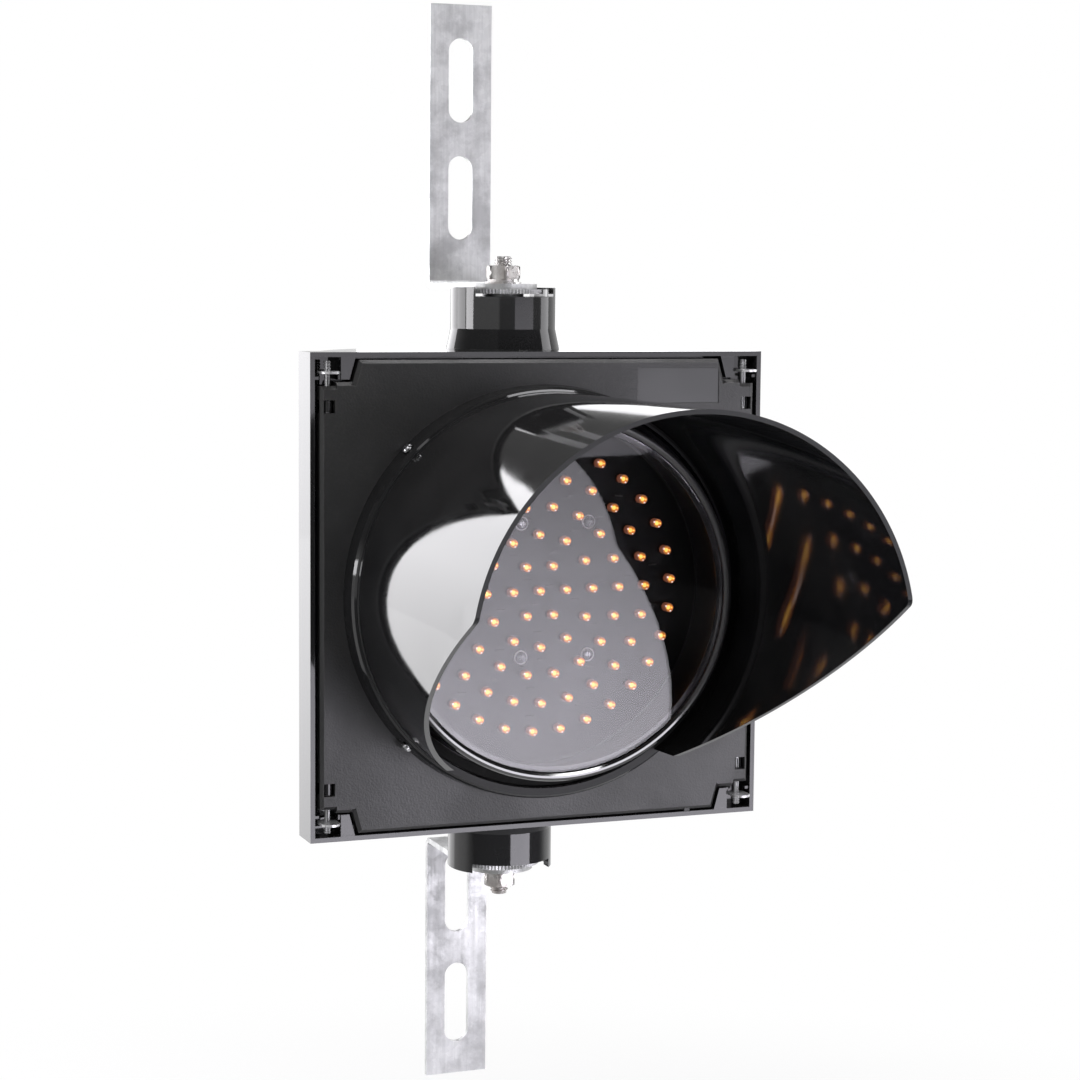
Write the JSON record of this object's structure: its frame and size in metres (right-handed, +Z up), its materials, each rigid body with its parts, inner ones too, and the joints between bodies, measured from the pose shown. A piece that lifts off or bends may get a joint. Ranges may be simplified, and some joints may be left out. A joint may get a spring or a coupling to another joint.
{
  "type": "single-aspect traffic signal",
  "caption": "Square signal head with an amber diode lamp and a long cutaway visor, aimed on top and bottom swivel bolts between two slotted wall brackets.",
  "frame": {"origin": "middle of the four wall slots, on the wall plane at the back of the brackets", "axes": "+X to the right seen from the front, -Y the way the signal faces, +Z up"},
  "size_m": [0.255, 0.34, 0.6244],
  "materials": {
    "housing_shell": "gloss",
    "seal_rubber": "satin",
    "pin_steel": "plated",
    "terminal_plastic": "matte",
    "screw_steel": "plated",
    "door_plastic": "fine texture",
    "visor_plastic": "gloss",
    "lens_clear": "polished",
    "unit_plastic": "satin",
    "board": "matte",
    "diode_amber": "lit",
    "clip_steel": "plated",
    "galvanised": "galvanised",
    "disc_steel": "galvanised",
    "bolt_steel": "zinc plated"
  },
  "bodies": {
    "wall_bracket": {"upper_bracket": "galvanised", "lower_bracket": "galvanised", "lock_discs": "disc_steel", "swivel_bolts": "bolt_steel", "plate_washers": "bolt_steel", "spring_washer": "bolt_steel", "swivel_nuts": "bolt_steel"},
    "head": {"housing_shell": "housing_shell", "upper_neck": "housing_shell", "lower_neck": "housing_shell", "door_seal": "seal_rubber", "hinge_pins": "pin_steel", "terminal_block": "terminal_plastic", "terminal_screws": "screw_steel"},
    "door": {"door": "door_plastic", "visor": "visor_plastic", "visor_screws": "screw_steel", "latch_pins": "pin_steel", "lens": "lens_clear", "lens_gasket": "seal_rubber", "unit_shell": "unit_plastic", "lamp_board": "board", "diodes": "diode_amber", "board_screws": "screw_steel", "unit_clips": "clip_steel", "clip_screws": "screw_steel"}
  },
  "joints": [
    {"name": "aim_swivel", "type": "hinge", "parent": "wall_bracket", "child": "head", "pos_m": [0, -0.075, 0], "axis": [0, 0, 1], "range_deg": [-10, 10]},
    {"name": "door_hinge", "type": "hinge", "parent": "head", "child": "door", "pos_m": [-0.1178, -0.1345, 0], "axis": [0, 0, -1], "range_deg": [0, 100]}
  ]
}
